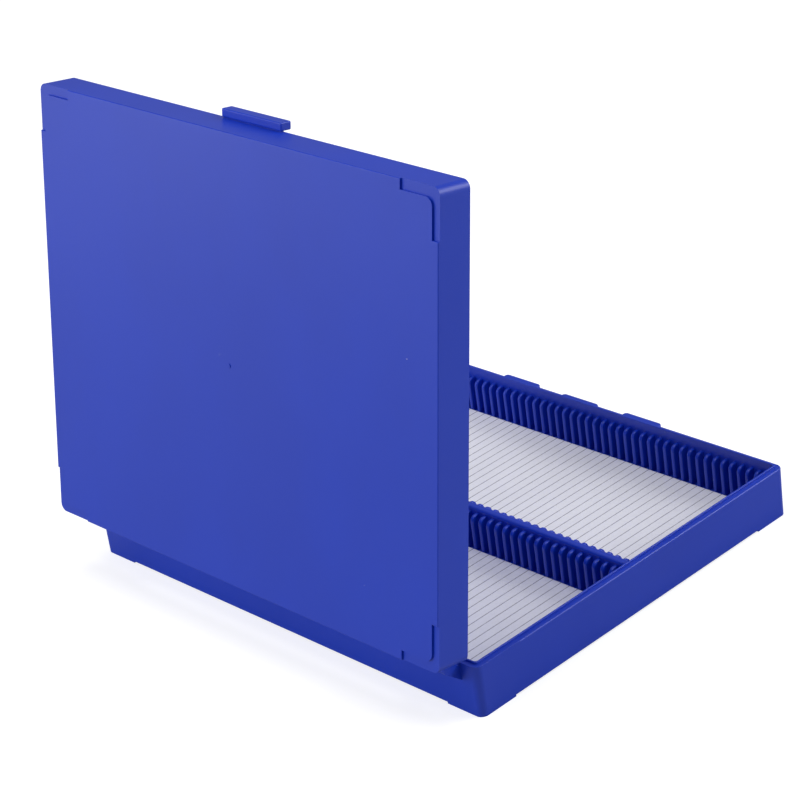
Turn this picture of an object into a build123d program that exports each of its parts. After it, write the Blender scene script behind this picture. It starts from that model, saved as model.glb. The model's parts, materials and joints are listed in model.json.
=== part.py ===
"""Hinged two-row box for microscope slides, open at its hinge, in millimetres.

X runs along the hinge, the latch is on the -Y wall and the hinge on the +Y wall, +Z is up.
Heights are above the underside of the feet, and the lid is drawn shut and then swung open.
"""

from build123d import *
from math import cos, radians, sin
import os

# Tray
BOX_LENGTH = 208.0
TRAY_DEPTH = 168.4
TRAY_HEIGHT = 19.6
FLOOR = 1.7
DRAFT_INSET = 0.15
CORNER_RADIUS = 3.0
INNER_RADIUS = 1.2
EDGE_RADIUS = 0.6

# Rim of the tray, a shoulder for the lid's wall with a thin lip inside it
LIP_THICKNESS = 0.7
LIP_RISE = 0.9
LIP_EDGE_RADIUS = 0.2
SEAT_RISE = 0.15
SEAT_RUN = 22.0
SEAT_EDGE_RADIUS = 0.1

# Feet, one L under each corner
FOOT_HEIGHT = 0.7
FOOT_ARM = 17.0
FOOT_WIDTH_X = 2.4
FOOT_WIDTH_Y = 3.0

# Slots
SLOT_COUNT = 50
END_SLOT = 1.7
RIB_WIDTH = 1.6
RIB_DEPTH = 3.7
RIB_HEIGHT = 14.8
RIB_CROWN = 2.4
RIB_EDGE_RADIUS = 0.6
DIVIDER_WIDTH = 3.6
DIVIDER_HEIGHT = 16.4
DIVIDER_CROWN = 1.2
BITE = 0.4

# Liner, one sheet in each row
LINER_THICKNESS = 0.8
LINER_CLEARANCE = 0.2

# Blocks on the latch wall
BLOCK_LENGTH = 19.2
BLOCK_HEIGHT = 4.0
BLOCK_SPACING = 32.6
GUARD_PROUD = 2.0
CATCH_PROUD = 1.35
BLOCK_CORNER_RADIUS = 1.6
BLOCK_EDGE_RADIUS = 0.6

# Lid
LID_HEIGHT = 14.4
LID_OVERHANG = 0.3
LID_WALL = 1.9
LID_TOP = 1.9
LID_EDGE_RADIUS = 0.4
RIM_CLEARANCE = 0.1
CLOSE_GAP = 0.05
OPEN_ANGLE = 80.0

# Recesses that take the feet of a box stacked on this one
RECESS_DEPTH = 0.8
FOOT_CLEARANCE = 0.3
RECESS_INNER_RADIUS = 3.0

# Latch tab
TAB_LENGTH = 31.0
TAB_PROUD = 3.4
TAB_RISE = 1.7
TAB_DROP = 3.1
TAB_STAND_OFF = 0.3
TAB_EDGE_RADIUS = 0.5
CATCH_CLEARANCE = 0.15
POCKET_SIDE_CLEARANCE = 0.4

# Moulding gate mark in the middle of the lid
GATE_RADIUS = 0.8
GATE_RISE = 0.25

# Hinges
AXIS_OUT = 4.37
AXIS_UP = 0.44
KNUCKLE_RADIUS = 3.2
KNUCKLE_INSET = 8.0
TRAY_KNUCKLE = 6.0
LID_KNUCKLE = 12.0
KNUCKLE_GAP = 0.3
GUSSET_DROP = 6.0
PIN_RADIUS = 1.0
PIN_CLEARANCE = 0.05
PIN_END_CHAMFER = 0.25
PIN_STOP = 1.2

BODY_Z = FOOT_HEIGHT
FLOOR_Z = BODY_Z + FLOOR
SHOULDER_Z = BODY_Z + TRAY_HEIGHT
SEAT_Z = SHOULDER_Z + SEAT_RISE
LIP_Z = SHOULDER_Z + LIP_RISE
RIM_Z = SEAT_Z + CLOSE_GAP
HALF_LENGTH = BOX_LENGTH / 2
HALF_DEPTH = TRAY_DEPTH / 2
LIP_INSET = LID_WALL + RIM_CLEARANCE
TRAY_WALL = LIP_INSET + LIP_THICKNESS
INNER_LENGTH = BOX_LENGTH - 2 * TRAY_WALL
INNER_DEPTH = TRAY_DEPTH - 2 * TRAY_WALL
LID_DEPTH = TRAY_DEPTH + 2 * LID_OVERHANG
LID_TOP_Z = RIM_Z + LID_HEIGHT
AXIS_Y = HALF_DEPTH + AXIS_OUT
AXIS_Z = SEAT_Z + AXIS_UP
HINGE_END = HALF_LENGTH - KNUCKLE_INSET
FIRST_RIB = END_SLOT + RIB_WIDTH / 2 - INNER_LENGTH / 2
SLOT_PITCH = -2 * FIRST_RIB / (SLOT_COUNT - 2)


def plate(length, depth, radius, low, high):
    """Upright block with rounded corners between two heights."""
    outline = RectangleRounded(length, depth, radius)
    return Pos(0, 0, low) * extrude(outline, high - low)


def span(x0, x1, y0, y1, z0, z1):
    """Plain box between its two corners."""
    return Pos((x0 + x1) / 2, (y0 + y1) / 2, (z0 + z1) / 2) * Box(x1 - x0, y1 - y0, z1 - z0)


def edges_at(solid, height):
    """Edges that lie level at one height."""
    level = [e for e in solid.edges() if abs(e.bounding_box().min.Z - height) < 1e-4]
    return [e for e in level if abs(e.bounding_box().max.Z - height) < 1e-4]


def tray_body():
    """Drafted outer block with its lip, seat and cavity."""
    foot_length = BOX_LENGTH - 2 * DRAFT_INSET
    foot_depth = TRAY_DEPTH - 2 * DRAFT_INSET
    step_y = HALF_DEPTH - SEAT_RUN
    low = Pos(0, 0, BODY_Z) * RectangleRounded(foot_length, foot_depth, CORNER_RADIUS - DRAFT_INSET)
    high = Pos(0, 0, SEAT_Z) * RectangleRounded(BOX_LENGTH, TRAY_DEPTH, CORNER_RADIUS)
    body = loft([low, high], ruled=True)
    body = fillet(edges_at(body, SEAT_Z), SEAT_EDGE_RADIUS)
    body -= span(-BOX_LENGTH, BOX_LENGTH, -TRAY_DEPTH, step_y, SHOULDER_Z, LIP_Z)
    shoulder = [e for e in edges_at(body, SHOULDER_Z) if abs(e.center().Y - step_y) > EDGE_RADIUS]
    body = fillet(shoulder, EDGE_RADIUS)
    lip_length = BOX_LENGTH - 2 * LIP_INSET
    lip_depth = TRAY_DEPTH - 2 * LIP_INSET
    body += plate(lip_length, lip_depth, CORNER_RADIUS - LIP_INSET, FLOOR_Z, LIP_Z)
    body -= plate(INNER_LENGTH, INNER_DEPTH, INNER_RADIUS, FLOOR_Z, LIP_Z + FLOOR)
    return fillet(edges_at(body, LIP_Z), LIP_EDGE_RADIUS)


def feet():
    """Four L-shaped feet that follow the corners of the body."""
    length = BOX_LENGTH - 2 * DRAFT_INSET
    depth = TRAY_DEPTH - 2 * DRAFT_INSET
    slab = plate(length, depth, CORNER_RADIUS - DRAFT_INSET, 0, BODY_Z)
    inner = span(
        FOOT_WIDTH_X - length / 2, length / 2 - FOOT_WIDTH_X,
        FOOT_WIDTH_Y - depth / 2, depth / 2 - FOOT_WIDTH_Y, 0, BODY_Z,
    )
    slab -= inner
    slab -= span(FOOT_ARM - length / 2, length / 2 - FOOT_ARM, -depth, depth, 0, BODY_Z)
    slab -= span(-length, length, FOOT_ARM - depth / 2, depth / 2 - FOOT_ARM, 0, BODY_Z)
    return slab


def rib():
    """One rib that stands on the floor, backs on to y = 0 and faces +Y, its crown rounded."""
    outline = Polyline(
        (0, -BITE, FLOOR_Z - BITE), (0, RIB_DEPTH, FLOOR_Z - BITE),
        (0, RIB_DEPTH, FLOOR_Z + RIB_HEIGHT), (0, -BITE, FLOOR_Z + RIB_HEIGHT), close=True,
    )
    solid = extrude(make_face(outline), RIB_WIDTH, dir=(1, 0, 0))
    solid = Pos(-RIB_WIDTH / 2, 0, 0) * solid
    crest = solid.edges().filter_by(Axis.X).sort_by(Axis.Z)[-2:].sort_by(Axis.Y)[-1]
    solid = fillet(crest, RIB_CROWN)
    front = [e for e in solid.edges().filter_by(Axis.Z) if e.center().Y > RIB_DEPTH / 2]
    return fillet(front, RIB_EDGE_RADIUS)


def rails(one):
    """The ribs of all four rails."""
    wall = INNER_DEPTH / 2
    core = DIVIDER_WIDTH / 2
    placed = []
    for n in range(SLOT_COUNT - 1):
        x = FIRST_RIB + n * SLOT_PITCH
        for y, turn in ((-wall, 0), (core, 0), (-core, 180), (wall, 180)):
            placed.append(Pos(x, y, 0) * Rot(0, 0, turn) * one)
    return placed


def divider():
    """Wall between the two rows, under the level of the rim."""
    half = INNER_LENGTH / 2 + TRAY_WALL / 2
    core = DIVIDER_WIDTH / 2
    wall = span(-half, half, -core, core, FLOOR_Z - BITE, FLOOR_Z + DIVIDER_HEIGHT)
    return fillet(wall.edges().filter_by(Axis.X).sort_by(Axis.Z)[-2:], DIVIDER_CROWN)


def block(x, proud):
    """One block on the outside of the latch wall."""
    low = SHOULDER_Z - BLOCK_HEIGHT
    half = BLOCK_LENGTH / 2
    back = -HALF_DEPTH + TRAY_WALL / 2
    solid = span(x - half, x + half, -HALF_DEPTH - proud, back, low, SHOULDER_Z)
    solid = fillet(solid.edges().filter_by(Axis.Z).sort_by(Axis.Y)[:2], BLOCK_CORNER_RADIUS)
    rims = edges_at(solid, low) + edges_at(solid, SHOULDER_Z)
    return fillet([e for e in rims if e.center().Y < back - 1e-3], BLOCK_EDGE_RADIUS)


def knuckle(x0, x1, bore_radius):
    """Barrel of a hinge knuckle and the radius of its bore, on the hinge axis."""
    middle = Pos((x0 + x1) / 2, AXIS_Y, AXIS_Z) * Rot(0, 90, 0)
    return middle * Cylinder(KNUCKLE_RADIUS, x1 - x0), middle * Cylinder(bore_radius, 2 * (x1 - x0))


def hinge_stations():
    """Start of each hinge station and its width, one station near each end."""
    width = 2 * TRAY_KNUCKLE + LID_KNUCKLE + 2 * KNUCKLE_GAP
    return (-HINGE_END, HINGE_END - width), width


def tray_knuckle(x0, x1):
    """Knuckle on the tray with the gusset that carries it."""
    barrel, bore = knuckle(x0, x1, PIN_RADIUS)
    foot = HALF_DEPTH - TRAY_WALL / 2
    reach = AXIS_Y + KNUCKLE_RADIUS * cos(radians(30))
    heel = AXIS_Z - KNUCKLE_RADIUS * sin(radians(30))
    side = Polyline(
        (x0, foot, SHOULDER_Z - EDGE_RADIUS), (x0, foot, heel - GUSSET_DROP),
        (x0, HALF_DEPTH, heel - GUSSET_DROP), (x0, reach, heel),
        (x0, AXIS_Y, SHOULDER_Z - EDGE_RADIUS), close=True,
    )
    gusset = extrude(make_face(side), x1 - x0, dir=(1, 0, 0))
    return gusset + barrel - bore


def pin_stop(side):
    """Disc that closes the outer end of one hinge station's bore."""
    middle = side * (HINGE_END - PIN_STOP / 2)
    return Pos(middle, AXIS_Y, AXIS_Z) * Rot(0, 90, 0) * Cylinder(KNUCKLE_RADIUS, PIN_STOP)


def tray_knuckles():
    """Two knuckles on the tray at each hinge station, the outer one closed at its end."""
    starts, width = hinge_stations()
    solids = [pin_stop(-1), pin_stop(1)]
    for x in starts:
        solids.append(tray_knuckle(x, x + TRAY_KNUCKLE))
        solids.append(tray_knuckle(x + width - TRAY_KNUCKLE, x + width))
    return solids


def lid_knuckles():
    """The lid's knuckle at each hinge station, drawn shut."""
    starts, width = hinge_stations()
    back = HALF_DEPTH + LID_OVERHANG
    solids = []
    for x in starts:
        x0 = x + TRAY_KNUCKLE + KNUCKLE_GAP
        x1 = x0 + LID_KNUCKLE
        barrel, bore = knuckle(x0, x1, PIN_RADIUS + PIN_CLEARANCE)
        web = span(x0, x1, back - LID_WALL / 2, AXIS_Y, RIM_Z, AXIS_Z + KNUCKLE_RADIUS)
        solids.append(web + barrel - bore)
    return solids


def hinge_pin(side):
    """Pin of one hinge station, from its closed end to just inside its open end."""
    _, width = hinge_stations()
    outer = HINGE_END - PIN_STOP - PIN_CLEARANCE
    inner = HINGE_END - width + PIN_END_CHAMFER
    rod = Cylinder(PIN_RADIUS, outer - inner)
    rod = chamfer(rod.edges().filter_by(GeomType.CIRCLE), PIN_END_CHAMFER)
    return Pos(side * (outer + inner) / 2, AXIS_Y, AXIS_Z) * Rot(0, 90, 0) * rod


def base_tray():
    """Tray with its feet, ribs, divider, blocks and hinge knuckles, one moulding."""
    tray = tray_body()
    pieces = [feet(), divider(), block(0, CATCH_PROUD)]
    pieces += [block(-BLOCK_SPACING, GUARD_PROUD), block(BLOCK_SPACING, GUARD_PROUD)]
    pieces += rails(rib())
    pieces += tray_knuckles()
    tray = tray.fuse(*pieces)
    return tray.clean()


def recess(x_side, y_side):
    """L-shaped cut at one corner of the lid, wide enough for a foot of the next box."""
    reach_x = DRAFT_INSET + FOOT_ARM + FOOT_CLEARANCE
    reach_y = DRAFT_INSET + LID_OVERHANG + FOOT_ARM + FOOT_CLEARANCE
    width_x = DRAFT_INSET + FOOT_WIDTH_X + FOOT_CLEARANCE
    width_y = DRAFT_INSET + LID_OVERHANG + FOOT_WIDTH_Y + FOOT_CLEARANCE
    beyond = LID_EDGE_RADIUS + 1
    x0 = HALF_LENGTH
    y0 = LID_DEPTH / 2
    outline = Polyline(
        (x0 + beyond, y0 + beyond), (x0 + beyond, y0 - reach_y), (x0 - width_x, y0 - reach_y),
        (x0 - width_x, y0 - width_y), (x0 - reach_x, y0 - width_y), (x0 - reach_x, y0 + beyond),
        close=True,
    )
    face = make_face(outline)
    inner = face.vertices().sort_by_distance((x0 - width_x, y0 - width_y, 0))[0]
    face = fillet(inner, RECESS_INNER_RADIUS)
    cut = Pos(0, 0, LID_TOP_Z - RECESS_DEPTH) * extrude(face, RECESS_DEPTH + GATE_RISE + 1)
    cut = cut if x_side > 0 else mirror(cut, Plane.YZ)
    return cut if y_side > 0 else mirror(cut, Plane.XZ)


def latch_tab():
    """Bar on the lid's front wall that reaches down over the catch, drawn shut."""
    wall = LID_DEPTH / 2
    half = TAB_LENGTH / 2
    low = RIM_Z - TAB_DROP
    bar = span(-half, half, -wall - TAB_PROUD, -wall - TAB_STAND_OFF, low, RIM_Z + TAB_RISE)
    bar = fillet(bar.edges(), TAB_EDGE_RADIUS)
    root = span(
        TAB_EDGE_RADIUS - half, half - TAB_EDGE_RADIUS, -wall - TAB_PROUD / 2,
        -wall + LID_WALL / 2, RIM_Z, RIM_Z + TAB_RISE - TAB_EDGE_RADIUS,
    )
    pocket_half = BLOCK_LENGTH / 2 + POCKET_SIDE_CLEARANCE
    pocket_back = -HALF_DEPTH - CATCH_PROUD - CATCH_CLEARANCE
    pocket = span(-pocket_half, pocket_half, pocket_back, -HALF_DEPTH, low - 1, RIM_Z - CLOSE_GAP)
    return bar + root - pocket


def on_outline(edge):
    """Whether an edge runs along the outside of the lid."""
    middle = edge.position_at(0.5)
    along_side = abs(abs(middle.X) - HALF_LENGTH) < CORNER_RADIUS / 2
    along_end = abs(abs(middle.Y) - LID_DEPTH / 2) < CORNER_RADIUS / 2
    return along_side or along_end


def lid_shell():
    """Lid with its recesses, tab and knuckles, drawn shut."""
    shell = plate(BOX_LENGTH, LID_DEPTH, CORNER_RADIUS, RIM_Z, LID_TOP_Z)
    cuts = [recess(x, y) for x in (-1, 1) for y in (-1, 1)]
    shell -= cuts
    top = [e for e in edges_at(shell, LID_TOP_Z) if on_outline(e)]
    shell = fillet(top, LID_EDGE_RADIUS)
    hollow = plate(
        BOX_LENGTH - 2 * LID_WALL, LID_DEPTH - 2 * LID_WALL, INNER_RADIUS,
        RIM_Z - 1, LID_TOP_Z - LID_TOP,
    )
    shell -= hollow
    gate = Pos(0, 0, LID_TOP_Z) * Cylinder(GATE_RADIUS, 2 * GATE_RISE)
    shell = shell.fuse(gate, latch_tab(), *lid_knuckles())
    return shell.clean()


def liner(side):
    """Sheet on the floor of one row, between its two rails."""
    rail = INNER_DEPTH / 2 - RIB_DEPTH - LINER_CLEARANCE
    core = DIVIDER_WIDTH / 2 + RIB_DEPTH + LINER_CLEARANCE
    half = INNER_LENGTH / 2 - LINER_CLEARANCE
    y0, y1 = sorted((side * core, side * rail))
    return span(-half, half, y0, y1, FLOOR_Z, FLOOR_Z + LINER_THICKNESS)


def swing(solid):
    """Opens a solid of the lid about the hinge axis."""
    return solid.rotate(Axis((0, AXIS_Y, AXIS_Z), (1, 0, 0)), -OPEN_ANGLE)


def assembly():
    """Every node with its solid, the middle of the open box's footprint over the origin."""
    nodes = {
        "base_tray": base_tray(),
        "lid_shell": swing(lid_shell()),
        "hinge_pin_left": hinge_pin(1),
        "hinge_pin_right": hinge_pin(-1),
        "liner_front_row": liner(-1),
        "liner_rear_row": liner(1),
    }
    boxes = [solid.bounding_box() for solid in nodes.values()]
    shift = -(min(b.min.Y for b in boxes) + max(b.max.Y for b in boxes)) / 2
    print("shift", shift, "axis", AXIS_Y + shift, AXIS_Z, "pitch", SLOT_PITCH)
    return {name: Pos(0, shift, 0) * solid for name, solid in nodes.items()}


def main():
    os.makedirs("parts", exist_ok=True)
    for name, solid in assembly().items():
        export_step(solid, os.path.join("parts", name + ".step"))


main()
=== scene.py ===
"""Blue two-row box for microscope slides, open at its hinge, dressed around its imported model.

Every piece stands in the model's own frame, in metres: X along the hinge, Y from the latch
wall towards the hinge, Z up, with the origin on the bench.
"""

from __future__ import annotations

import json
import logging
import math
from dataclasses import dataclass
from enum import Enum
from typing import Any

import bpy
from mathutils import Matrix, Vector

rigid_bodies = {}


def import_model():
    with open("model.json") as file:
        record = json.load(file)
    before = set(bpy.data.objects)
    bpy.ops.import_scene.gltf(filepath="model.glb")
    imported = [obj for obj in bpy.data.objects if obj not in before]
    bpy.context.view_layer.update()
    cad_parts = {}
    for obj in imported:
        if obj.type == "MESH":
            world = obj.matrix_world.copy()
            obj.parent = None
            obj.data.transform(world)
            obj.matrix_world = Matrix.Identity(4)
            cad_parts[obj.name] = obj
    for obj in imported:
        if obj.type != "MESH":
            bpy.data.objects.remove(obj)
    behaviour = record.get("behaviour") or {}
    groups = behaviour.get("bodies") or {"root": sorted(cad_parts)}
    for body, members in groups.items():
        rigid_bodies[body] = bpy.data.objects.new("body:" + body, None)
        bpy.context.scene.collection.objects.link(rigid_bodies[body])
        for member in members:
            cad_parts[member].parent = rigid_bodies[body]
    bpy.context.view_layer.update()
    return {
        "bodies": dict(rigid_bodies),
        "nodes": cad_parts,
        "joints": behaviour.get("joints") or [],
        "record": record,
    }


LOG = logging.getLogger("slide_box")
MILLIMETRE = 0.001

Colour = tuple[float, float, float]
Point = tuple[float, float, float]

WHITE: Colour = (1.0, 1.0, 1.0)


class Slot(Enum):
    """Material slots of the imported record."""

    TRAY = "tray_plastic"
    LID = "lid_plastic"
    PIN = "pin_steel"
    LINER = "liner_card"


# ---------------------------------------------------------------- shader building


@dataclass
class NodeDesk:
    """Short-hand for laying out one node tree.

    Attributes:
        tree: The node tree that is being filled.
    """

    tree: bpy.types.NodeTree

    def add(self, kind: str, settings: dict[str, Any] | None = None,
            inputs: dict[str, Any] | None = None) -> bpy.types.Node:
        """Adds a node, sets its properties and its inputs.

        Args:
            kind: The node's type name.
            settings: Properties of the node itself.
            inputs: Values or output sockets for its inputs, by input name or number.

        Returns:
            The new node.
        """
        node = self.tree.nodes.new(kind)
        for name, value in (settings or {}).items():
            setattr(node, name, value)
        for name, value in (inputs or {}).items():
            self.feed(node, name, value)
        return node

    def feed(self, node: bpy.types.Node, name: str | int, value: Any) -> None:
        """Sets or links one input of a node.

        Args:
            node: The node that takes the value.
            name: The input's name or number.
            value: A plain value, or the output socket to link.
        """
        if isinstance(value, bpy.types.NodeSocket):
            self.tree.links.new(value, node.inputs[name])
        else:
            node.inputs[name].default_value = value

    def math(self, operation: str, first: Any, second: Any = 0.0, clamp: bool = False) -> Any:
        """Adds a Math node.

        Args:
            operation: The node's operation.
            first: The first value or socket.
            second: The second value or socket.
            clamp: Whether the result is held between 0 and 1.

        Returns:
            The result's socket.
        """
        settings = {"operation": operation, "use_clamp": clamp}
        return self.add("ShaderNodeMath", settings, {0: first, 1: second}).outputs[0]

    def noise(self, vector: Any, scale: Any, detail: float, roughness: float = 0.5) -> Any:
        """Adds a Noise Texture and returns its value socket.

        Args:
            vector: The coordinate socket.
            scale: The texture's scale.
            detail: The number of octaves.
            roughness: How strong the finer octaves are.

        Returns:
            The value's socket.
        """
        inputs = {"Vector": vector, "Scale": scale, "Detail": detail, "Roughness": roughness}
        return self.add("ShaderNodeTexNoise", None, inputs).outputs[0]

    def ramp(self, value: Any, low: Any, high: Any, start: float = 0.0,
             end: float = 1.0) -> Any:
        """Adds a smooth Map Range node.

        Args:
            value: The value's socket.
            low: The value or socket that gives start.
            high: The value or socket that gives end.
            start: The result at low.
            end: The result at high.

        Returns:
            The result's socket.
        """
        settings = {"interpolation_type": "SMOOTHSTEP"}
        inputs = {0: value, 1: low, 2: high, 3: start, 4: end}
        return self.add("ShaderNodeMapRange", settings, inputs).outputs[0]

    def blend(self, factor: Any, first: Any, second: Any) -> Any:
        """Mixes two colours.

        Args:
            factor: The share of the second.
            first: The first colour or socket.
            second: The second colour or socket.

        Returns:
            The mixed colour's socket.
        """
        settings = {"data_type": "RGBA"}
        node = self.add("ShaderNodeMix", settings)
        self.feed(node, 0, factor)
        self.feed(node, 6, rgba(first) if isinstance(first, tuple) else first)
        self.feed(node, 7, rgba(second) if isinstance(second, tuple) else second)
        return node.outputs[2]

    def mapped(self, vector: Any, scale: Point = (1.0, 1.0, 1.0),
               turn: Point = (0.0, 0.0, 0.0)) -> Any:
        """Adds a Mapping node.

        Args:
            vector: The coordinate socket.
            scale: Stretch along each axis.
            turn: Rotation about each axis, in degrees.

        Returns:
            The changed coordinate's socket.
        """
        inputs = {"Vector": vector, "Scale": scale, "Rotation": tuple(map(math.radians, turn))}
        return self.add("ShaderNodeMapping", None, inputs).outputs[0]

    def bump(self, height: Any) -> Any:
        """Adds a Bump node.

        Args:
            height: The height's socket, in metres.

        Returns:
            The normal's socket.
        """
        inputs = {"Height": height, "Strength": 1.0, "Distance": 1.0}
        return self.add("ShaderNodeBump", None, inputs).outputs["Normal"]


def rgba(colour: Colour) -> tuple[float, float, float, float]:
    """Gives a colour its full alpha."""
    return (*colour, 1.0)


class Effect(Enum):
    """Shader groups that several finishes share."""

    GRAIN = "moulded_grain"
    MARKS = "handling_marks"
    FIBRE = "card_fibre"
    RULES = "ruled_lines"


@dataclass
class EffectLibrary:
    """Builds each shared shader group once and places it where it is asked for.

    Attributes:
        made: The groups made so far.
        fine_share: How much of the grain is its fine noise.
        coarse_scale: Scale of the grain's coarse noise, as a share of the fine one's.
        tone_scale: Scale of the tone's clouds, as a share of the ripple's.
        speck_rarity: The share of cells that stay free of dust.
        lint_scale: Scale of the noise that frays a speck.
        scratch_turn: Lean of the scratches, in degrees.
        scratch_stretch: Stretch of the scratches' cells along their length.
        scratch_width: Width of a scratch, as a share of its cell.
        scratch_patch_scale: Scale of the patches where scratches show.
        fibre_stretch: Stretch of the card's fibres across their length.
        cloud_share: Scale of the card's clouds, as a share of the fibres'.
        line_wander: How far a ruled line strays, in metres.
        ink_grain_scale: Scale of the unevenness in the ink.
    """

    made: dict[Effect, bpy.types.NodeTree]
    fine_share: float = 0.6
    coarse_scale: float = 0.31
    tone_scale: float = 2.3
    speck_rarity: float = 0.95
    lint_scale: float = 1400.0
    scratch_turn: Point = (24.0, 17.0, 31.0)
    scratch_stretch: float = 0.05
    scratch_width: float = 0.006
    scratch_patch_scale: float = 22.0
    fibre_stretch: tuple[float, float] = (0.25, 0.3)
    cloud_share: float = 0.04
    line_wander: float = 0.12 * MILLIMETRE
    ink_grain_scale: float = 700.0

    def place(self, desk: NodeDesk, effect: Effect, inputs: dict[str, Any]) -> bpy.types.Node:
        """Puts a shared group into a material.

        Args:
            desk: The material's node desk.
            effect: Which group.
            inputs: The group's input values or sockets.

        Returns:
            The group's node.
        """
        if effect not in self.made:
            self.made[effect] = self.build(effect)
        node = desk.add("ShaderNodeGroup", {"node_tree": self.made[effect]})
        for name, value in inputs.items():
            desk.feed(node, name, value)
        return node

    def build(self, effect: Effect) -> bpy.types.NodeTree:
        """Makes one group.

        Args:
            effect: Which group.

        Returns:
            The finished node tree.
        """
        tree = bpy.data.node_groups.new(effect.value, "ShaderNodeTree")
        makers = {
            Effect.GRAIN: self.grain,
            Effect.MARKS: self.marks,
            Effect.FIBRE: self.fibre,
            Effect.RULES: self.rules,
        }
        makers[effect](tree)
        return tree

    @staticmethod
    def sockets(tree: bpy.types.NodeTree, inputs: dict[str, float | None],
                outputs: tuple[str, ...]) -> tuple[bpy.types.Node, bpy.types.Node]:
        """Gives a group its sockets.

        Args:
            tree: The group's tree.
            inputs: Names and default values, None for a vector.
            outputs: Names of the value outputs.

        Returns:
            The group's input and output nodes.
        """
        for name, value in inputs.items():
            kind = "NodeSocketVector" if value is None else "NodeSocketFloat"
            socket = tree.interface.new_socket(name, in_out="INPUT", socket_type=kind)
            if value is not None:
                socket.default_value = value
        for name in outputs:
            tree.interface.new_socket(name, in_out="OUTPUT", socket_type="NodeSocketFloat")
        return tree.nodes.new("NodeGroupInput"), tree.nodes.new("NodeGroupOutput")

    def grain(self, tree: bpy.types.NodeTree) -> None:
        """Fine spark-eroded texture, slow sink ripple and the tone that goes with them."""
        given, result = self.sockets(
            tree, {"Vector": None, "Grain Scale": 2600.0, "Ripple Scale": 9.0},
            ("Grain", "Ripple", "Tone"))
        desk = NodeDesk(tree)
        vector = given.outputs["Vector"]
        fine_scale = given.outputs["Grain Scale"]
        ripple_scale = given.outputs["Ripple Scale"]
        fine = desk.noise(vector, fine_scale, 2.0, 0.6)
        coarse = desk.noise(vector, desk.math("MULTIPLY", fine_scale, self.coarse_scale), 2.0)
        both = desk.math("ADD", desk.math("MULTIPLY", fine, self.fine_share),
                         desk.math("MULTIPLY", coarse, 1.0 - self.fine_share))
        ripple = desk.noise(vector, ripple_scale, 2.0, 0.4)
        tone = desk.noise(desk.mapped(vector, (1.0, 1.0, 0.6)),
                          desk.math("MULTIPLY", ripple_scale, self.tone_scale), 3.0)
        desk.feed(result, "Grain", both)
        desk.feed(result, "Ripple", ripple)
        desk.feed(result, "Tone", desk.ramp(tone, 0.3, 0.7))

    def marks(self, tree: bpy.types.NodeTree) -> None:
        """Sparse dust specks and hair-fine scratches."""
        given, result = self.sockets(
            tree, {"Vector": None, "Speck Scale": 190.0, "Speck Reach": 0.045,
                   "Scratch Scale": 30.0}, ("Dust", "Scratch"))
        desk = NodeDesk(tree)
        vector = given.outputs["Vector"]
        cells = desk.add("ShaderNodeTexVoronoi", {"feature": "F1"},
                         {"Vector": vector, "Scale": given.outputs["Speck Scale"]})
        near = desk.math("LESS_THAN", cells.outputs["Distance"], given.outputs["Speck Reach"])
        tint = desk.add("ShaderNodeSeparateColor", None, {0: cells.outputs["Color"]})
        rare = desk.math("GREATER_THAN", tint.outputs[0], self.speck_rarity)
        lint = desk.noise(vector, self.lint_scale, 2.0)
        dust = desk.math("MULTIPLY", desk.math("MULTIPLY", near, rare), desk.ramp(lint, 0.35, 0.6))
        drawn = desk.mapped(vector, (1.0, 1.0, self.scratch_stretch), self.scratch_turn)
        streak = desk.add("ShaderNodeTexVoronoi", {"feature": "DISTANCE_TO_EDGE"},
                          {"Vector": drawn, "Scale": given.outputs["Scratch Scale"]})
        thin = desk.ramp(streak.outputs["Distance"], 0.0, self.scratch_width, 1.0, 0.0)
        patch = desk.ramp(desk.noise(vector, self.scratch_patch_scale, 1.0), 0.62, 0.7)
        desk.feed(result, "Dust", dust)
        desk.feed(result, "Scratch", desk.math("MULTIPLY", thin, patch))

    def fibre(self, tree: bpy.types.NodeTree) -> None:
        """Matted fibres of a card, as height and tone."""
        given, result = self.sockets(
            tree, {"Vector": None, "Fibre Scale": 900.0}, ("Height", "Tone"))
        desk = NodeDesk(tree)
        vector = given.outputs["Vector"]
        scale = given.outputs["Fibre Scale"]
        along_y, along_x = self.fibre_stretch
        first = desk.noise(desk.mapped(vector, (1.0, along_y, 1.0)), scale, 4.0)
        second = desk.noise(desk.mapped(vector, (along_x, 1.0, 1.0)), scale, 4.0)
        height = desk.math("MAXIMUM", first, second)
        cloud = desk.noise(vector, desk.math("MULTIPLY", scale, self.cloud_share), 3.0)
        tone = desk.math("MULTIPLY", desk.math("ADD", height, cloud), 0.5)
        desk.feed(result, "Height", height)
        desk.feed(result, "Tone", desk.ramp(tone, 0.35, 0.7))

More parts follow.
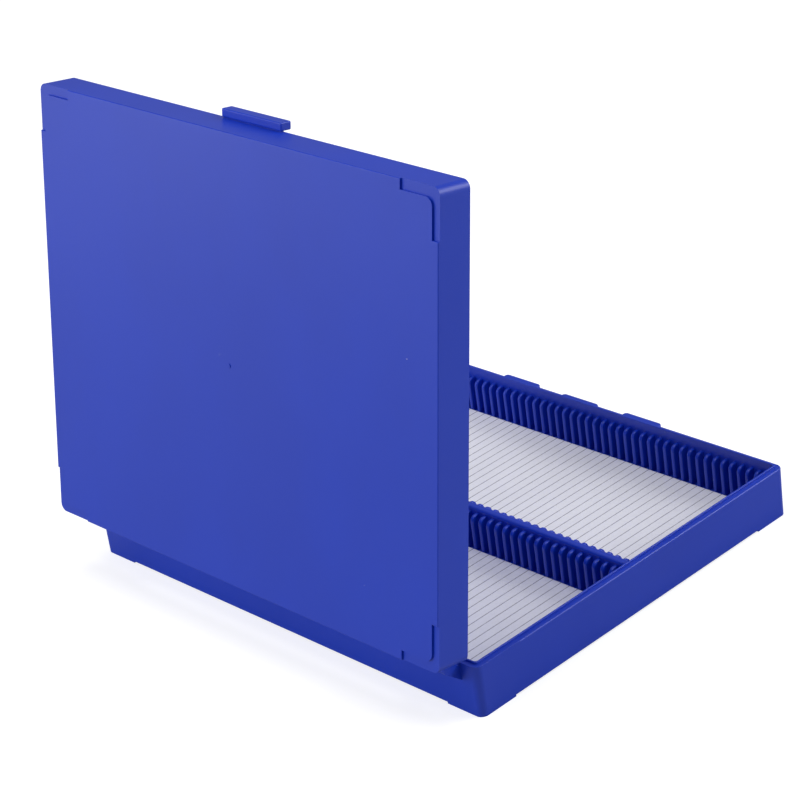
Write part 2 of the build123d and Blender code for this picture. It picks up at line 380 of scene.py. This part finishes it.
    def rules(self, tree: bpy.types.NodeTree) -> None:
        """Evenly spaced lines across X, a little uneven in weight like a real print."""
        given, result = self.sockets(
            tree, {"Vector": None, "Pitch": 0.004, "Offset": 0.0, "Half Width": 0.05,
                   "Softness": 0.05}, ("Ink",))
        desk = NodeDesk(tree)
        axes = desk.add("ShaderNodeSeparateXYZ", None, {0: given.outputs["Vector"]})
        wander = desk.noise(desk.mapped(given.outputs["Vector"], (3.0, 40.0, 1.0)), 1.0, 2.0)
        drift = desk.math("MULTIPLY", desk.math("SUBTRACT", wander, 0.5), self.line_wander)
        place = desk.math("ADD", desk.math("ADD", axes.outputs[0], given.outputs["Offset"]), drift)
        turns = desk.math("DIVIDE", place, given.outputs["Pitch"])
        away = desk.math("ABSOLUTE", desk.math("SUBTRACT", desk.math("FRACT", turns), 0.5))
        outer = desk.math("ADD", given.outputs["Half Width"], given.outputs["Softness"])
        line = desk.ramp(away, given.outputs["Half Width"], outer, 1.0, 0.0)
        grain = desk.noise(given.outputs["Vector"], self.ink_grain_scale, 3.0)
        weight = desk.ramp(grain, 0.25, 0.6, 0.7, 1.0)
        desk.feed(result, "Ink", desk.math("MULTIPLY", line, weight))


# ---------------------------------------------------------------- finishes


@dataclass(frozen=True)
class Finish:
    """What every finish has.

    Attributes:
        name: The material's name.
    """

    name: str

    def open_desk(self) -> tuple[bpy.types.Material, NodeDesk, bpy.types.Node, Any]:
        """Starts the material.

        Returns:
            The material, its node desk, its shader and its object coordinates.
        """
        material = bpy.data.materials.new(self.name)
        material.use_nodes = True
        desk = NodeDesk(material.node_tree)
        shader = material.node_tree.nodes["Principled BSDF"]
        where = desk.add("ShaderNodeTexCoord").outputs["Object"]
        return material, desk, shader, where


@dataclass(frozen=True)
class MouldedPlastic(Finish):
    """Satin moulded plastic.

    Attributes:
        colour: The plastic's own colour.
        shade: The colour of its slightly darker clouds.
        dust: The colour of dust.
        roughness: Mean roughness.
        spread: How far the roughness varies.
        grain_depth: Depth of the fine texture, in metres.
        ripple_depth: Depth of the slow ripple, in metres.
        scratch_depth: Depth of a scratch, in metres.
        dust_dulling: Roughness that dust adds.
        ior: Index of refraction.
        specular: Specular level.
        coat: Weight of the smooth skin.
        coat_roughness: Roughness of the smooth skin.
    """

    colour: Colour = (0.001, 0.036, 0.500)
    shade: Colour = (0.001, 0.033, 0.465)
    dust: Colour = (0.45, 0.47, 0.60)
    roughness: float = 0.42
    spread: float = 0.05
    grain_depth: float = 0.006 * MILLIMETRE
    ripple_depth: float = 0.05 * MILLIMETRE
    scratch_depth: float = 0.01 * MILLIMETRE
    dust_dulling: float = 0.4
    ior: float = 1.53
    specular: float = 0.44
    coat: float = 0.10
    coat_roughness: float = 0.3

    def make(self, effects: EffectLibrary) -> bpy.types.Material:
        """Builds the material.

        Args:
            effects: The shared shader groups.

        Returns:
            The finished material.
        """
        material, desk, shader, where = self.open_desk()
        grain = effects.place(desk, Effect.GRAIN, {"Vector": where})
        marks = effects.place(desk, Effect.MARKS, {"Vector": where})
        tone = desk.blend(grain.outputs["Tone"], self.colour, self.shade)
        dusted = desk.blend(marks.outputs["Dust"], tone, self.dust)
        desk.feed(shader, "Base Color", dusted)
        low = self.roughness - self.spread
        high = self.roughness + self.spread
        rough = desk.ramp(grain.outputs["Ripple"], 0.3, 0.7, low, high)
        dull = desk.math("MULTIPLY", marks.outputs["Dust"], self.dust_dulling)
        desk.feed(shader, "Roughness", desk.math("ADD", rough, dull, clamp=True))
        shader.inputs["Specular IOR Level"].default_value = self.specular
        shader.inputs["IOR"].default_value = self.ior
        shader.inputs["Coat Weight"].default_value = self.coat
        shader.inputs["Coat Roughness"].default_value = self.coat_roughness
        fine = desk.math("MULTIPLY", grain.outputs["Grain"], self.grain_depth)
        slow = desk.math("MULTIPLY", grain.outputs["Ripple"], self.ripple_depth)
        cut = desk.math("MULTIPLY", marks.outputs["Scratch"], -self.scratch_depth)
        height = desk.math("ADD", desk.math("ADD", fine, slow), cut)
        desk.feed(shader, "Normal", desk.bump(height))
        return material


@dataclass(frozen=True)
class RuledCard(Finish):
    """Off-white card with fine ruled lines.

    Attributes:
        paper: Colour of the card.
        shade: Colour of its darker fibres.
        ink: Colour of the lines.
        pitch: Distance between lines, in metres.
        offset: Place of the first line, in metres.
        half_width: Half a line's width, as a share of the pitch.
        softness: Width of a line's faded edge, as a share of the pitch.
        ink_weight: How strongly the ink covers.
        fibre_depth: Depth of the fibres, in metres.
        specular: Specular level.
    """

    paper: Colour = (0.90, 0.90, 0.96)
    shade: Colour = (0.84, 0.84, 0.90)
    ink: Colour = (0.10, 0.10, 0.14)
    pitch: float = 4.1167 * MILLIMETRE
    offset: float = 1.5 * MILLIMETRE
    half_width: float = 0.028
    softness: float = 0.04
    ink_weight: float = 0.75
    fibre_depth: float = 0.02 * MILLIMETRE
    specular: float = 0.3

    def make(self, effects: EffectLibrary) -> bpy.types.Material:
        """Builds the material.

        Args:
            effects: The shared shader groups.

        Returns:
            The finished material.
        """
        material, desk, shader, where = self.open_desk()
        fibre = effects.place(desk, Effect.FIBRE, {"Vector": where})
        lines = effects.place(desk, Effect.RULES, {
            "Vector": where, "Pitch": self.pitch, "Offset": self.offset,
            "Half Width": self.half_width, "Softness": self.softness})
        card = desk.blend(fibre.outputs["Tone"], self.shade, self.paper)
        cover = desk.math("MULTIPLY", lines.outputs["Ink"], self.ink_weight)
        desk.feed(shader, "Base Color", desk.blend(cover, card, self.ink))
        rough = desk.ramp(fibre.outputs["Height"], 0.3, 0.8, 0.95, 0.8)
        desk.feed(shader, "Roughness", rough)
        shader.inputs["Specular IOR Level"].default_value = self.specular
        height = desk.math("MULTIPLY", fibre.outputs["Height"], self.fibre_depth)
        desk.feed(shader, "Normal", desk.bump(height))
        return material


@dataclass(frozen=True)
class PlatedWire(Finish):
    """Drawn steel wire with a thin nickel plate.

    Attributes:
        colour: Colour of the metal.
        shade: Colour in the drawing lines.
        roughness: Lowest roughness.
        spread: How far the roughness rises in the lines.
        line_scale: Scale of the drawing lines.
        line_stretch: Stretch of the lines along the wire.
        line_depth: Depth of the lines, in metres.
    """

    colour: Colour = (0.62, 0.62, 0.64)
    shade: Colour = (0.42, 0.42, 0.45)
    roughness: float = 0.28
    spread: float = 0.2
    line_scale: float = 4000.0
    line_stretch: float = 0.02
    line_depth: float = 0.004 * MILLIMETRE

    def make(self, effects: EffectLibrary) -> bpy.types.Material:
        """Builds the material.

        Args:
            effects: The shared shader groups.

        Returns:
            The finished material.
        """
        material, desk, shader, where = self.open_desk()
        drawn = desk.mapped(where, (self.line_stretch, 1.0, 1.0))
        lines = effects.place(desk, Effect.FIBRE, {
            "Vector": drawn, "Fibre Scale": self.line_scale})
        desk.feed(shader, "Base Color", desk.blend(lines.outputs["Tone"], self.shade, self.colour))
        rough = desk.ramp(lines.outputs["Height"], 0.3, 0.8, self.roughness,
                          self.roughness + self.spread)
        desk.feed(shader, "Roughness", rough)
        shader.inputs["Metallic"].default_value = 1.0
        height = desk.math("MULTIPLY", lines.outputs["Height"], self.line_depth)
        desk.feed(shader, "Normal", desk.bump(height))
        return material


@dataclass(frozen=True)
class PaleSurface(Finish):
    """Seamless white sheet under the object.

    Attributes:
        colour: Colour of the sheet.
        glow: How much light the sheet gives by itself.
        cloud_scale: Scale of the clouds in its roughness.
    """

    colour: Colour = (0.5, 0.5, 0.5)
    glow: float = 0.7
    cloud_scale: float = 3.0

    def make(self) -> bpy.types.Material:
        """Builds the material and returns it."""
        material, desk, shader, where = self.open_desk()
        cloud = desk.ramp(desk.noise(where, self.cloud_scale, 2.0), 0.3, 0.7, 0.85, 0.95)
        desk.feed(shader, "Roughness", cloud)
        shader.inputs["Base Color"].default_value = rgba(self.colour)
        shader.inputs["Emission Color"].default_value = rgba(WHITE)
        seen = desk.add("ShaderNodeLightPath").outputs["Is Camera Ray"]
        desk.feed(shader, "Emission Strength", desk.math("MULTIPLY", seen, self.glow))
        return material


# ---------------------------------------------------------------- sub-assemblies


def deselect() -> None:
    """Leaves object mode clean, with nothing selected or active."""
    bpy.ops.object.select_all(action="DESELECT")
    bpy.context.view_layer.objects.active = None


def paint(piece: bpy.types.Object, material: bpy.types.Material) -> None:
    """Gives a piece one material.

    Args:
        piece: The piece.
        material: Its material.
    """
    piece.data.materials.clear()
    piece.data.materials.append(material)


@dataclass
class SubAssembly:
    """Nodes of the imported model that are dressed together.

    Attributes:
        effects: The shared shader groups.
    """

    frame: dict[str, Any]
    effects: EffectLibrary

    def dress_nodes(self, names: tuple[str, ...], material: bpy.types.Material,
                    slot: Slot) -> None:
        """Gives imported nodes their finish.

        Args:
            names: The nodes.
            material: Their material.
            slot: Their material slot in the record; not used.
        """
        for name in names:
            node = self.frame["nodes"][name]
            paint(node, material)
            LOG.info("dressed %s with %s", name, material.name)


@dataclass
class SlideTray(SubAssembly):
    """Tray moulding with the card in each of its rows."""

    plastic: MouldedPlastic = MouldedPlastic("tray_blue")
    card: RuledCard = RuledCard("ruled_card")

    def dress(self) -> None:
        """Finishes the tray and its liners."""
        self.dress_nodes(("base_tray",), self.plastic.make(self.effects), Slot.TRAY)
        self.dress_nodes(("liner_front_row", "liner_rear_row"), self.card.make(self.effects),
                         Slot.LINER)


@dataclass
class Lid(SubAssembly):
    """Lid moulding."""

    plastic: MouldedPlastic = MouldedPlastic("lid_blue")

    def dress(self) -> None:
        """Finishes the lid."""
        self.dress_nodes(("lid_shell",), self.plastic.make(self.effects), Slot.LID)


@dataclass
class Hinge(SubAssembly):
    """Wire pins of the hinge."""

    wire: PlatedWire = PlatedWire("plated_wire")

    def dress(self) -> None:
        """Finishes both pins."""
        self.dress_nodes(("hinge_pin_left", "hinge_pin_right"), self.wire.make(self.effects),
                         Slot.PIN)


# ---------------------------------------------------------------- studio


@dataclass
class SoftBox:
    """Square studio light.

    Attributes:
        name: Its name.
        place: Where it stands.
        aim: The point it faces.
        size: Its side, in metres.
        power: Its power, in watts.
        colour: Its colour.
    """

    name: str
    place: Point
    aim: Point
    size: float
    power: float
    colour: Colour = WHITE

    def build(self) -> bpy.types.Object:
        """Makes the light and returns it."""
        data = bpy.data.lights.new(self.name, "AREA")
        data.shape = "SQUARE"
        data.size = self.size
        data.energy = self.power
        data.color = self.colour
        light = bpy.data.objects.new(self.name, data)
        bpy.context.scene.collection.objects.link(light)
        away = Vector(self.place) - Vector(self.aim)
        light.location = self.place
        light.rotation_mode = "QUATERNION"
        light.rotation_quaternion = away.to_track_quat("Z", "Y")
        LOG.info("placed light %s", self.name)
        return light


@dataclass
class ViewPoint:
    """Camera of the main picture.

    Attributes:
        aim: The point in the middle of the picture.
        azimuth: Turn of the view, 0 along +Y and 90 along -X, in degrees.
        elevation: Height above the horizon, in degrees.
        roll: Lean of the camera to its right, in degrees.
        distance: Distance to the aim, in metres.
        lens: Focal length, in millimetres.
        sensor: Sensor width, in millimetres.
    """

    aim: Point = (0.02287, -0.01675, 0.04775)
    azimuth: float = 229.16
    elevation: float = 26.52
    roll: float = 8.25
    distance: float = 1.0305
    lens: float = 119.27
    sensor: float = 36.0

    def build(self) -> bpy.types.Object:
        """Makes the camera and returns it."""
        turn = math.radians(self.azimuth)
        rise = math.radians(self.elevation)
        flat = math.cos(rise)
        back = Vector((math.sin(turn) * flat, -math.cos(turn) * flat, math.sin(rise)))
        data = bpy.data.cameras.new("main_camera")
        data.lens = self.lens
        data.sensor_width = self.sensor
        data.clip_start = 0.01
        data.clip_end = 100.0
        camera = bpy.data.objects.new("main_camera", data)
        bpy.context.scene.collection.objects.link(camera)
        level = back.to_track_quat("Z", "Y").to_matrix()
        lean = Matrix.Rotation(-math.radians(self.roll), 3, "Z")
        camera.rotation_mode = "QUATERNION"
        camera.rotation_quaternion = (level @ lean).to_quaternion()
        camera.location = Vector(self.aim) + back * self.distance
        bpy.context.scene.camera = camera
        return camera


@dataclass
class Studio:
    """White sweep, soft lights and camera.

    Attributes:
        floor_size: Side of the sweep, in metres.
        sky: Strength of the surrounding light.
        middle: The point that most lights face.
        sheet: Finish of the sweep.
    """

    floor_size: float = 6.0
    sky: float = 0.29
    middle: Point = (0.0, 0.0, 0.05)
    sheet: PaleSurface = PaleSurface("white_sweep")

    def build(self) -> None:
        """Builds the sweep, the lights, the surroundings and the camera."""
        self.build_floor()
        self.build_lights()
        self.build_sky()
        ViewPoint().build()

    def build_floor(self) -> None:
        """Lays the sweep."""
        deselect()
        bpy.ops.mesh.primitive_plane_add(size=self.floor_size)
        floor = bpy.context.active_object
        floor.name = "white_sweep"
        paint(floor, self.sheet.make())

    def build_lights(self) -> None:
        """Sets up the soft boxes."""
        boxes = (
            SoftBox("hinge_side_box", place=(0.6, 1.4, 0.75), aim=(0.0, 0.05, 0.1),
                    size=0.9, power=13.4),
            SoftBox("low_edge_box", place=(1.1, 0.9, 0.15), aim=(0.0, 0.08, 0.1),
                    size=0.6, power=2.0),
            SoftBox("latch_side_box", place=(-1.1, -0.9, 0.7), aim=self.middle,
                    size=0.8, power=7.6),
            SoftBox("latch_high_box", place=(-0.9, -1.2, 0.9), aim=self.middle,
                    size=0.8, power=6.4),
            SoftBox("overhead_box", place=(0.0, 0.0, 1.4), aim=self.middle,
                    size=0.8, power=6.4),
        )
        for box in boxes:
            box.build()

    def build_sky(self) -> None:
        """Lights the surroundings evenly."""
        world = bpy.data.worlds.new("studio_white")
        world.use_nodes = True
        backdrop = world.node_tree.nodes["Background"]
        backdrop.inputs["Color"].default_value = rgba(WHITE)
        backdrop.inputs["Strength"].default_value = self.sky
        bpy.context.scene.world = world
        bpy.context.scene.view_settings.view_transform = "Standard"


def main() -> None:
    """Dresses the box and sets up the studio."""
    logging.basicConfig(level=logging.INFO, format="%(name)s: %(message)s")
    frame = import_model()
    effects = EffectLibrary({})
    SlideTray(frame, effects).dress()
    Lid(frame, effects).dress()
    Hinge(frame, effects).dress()
    Studio().build()


if __name__ == "__main__":
    main()
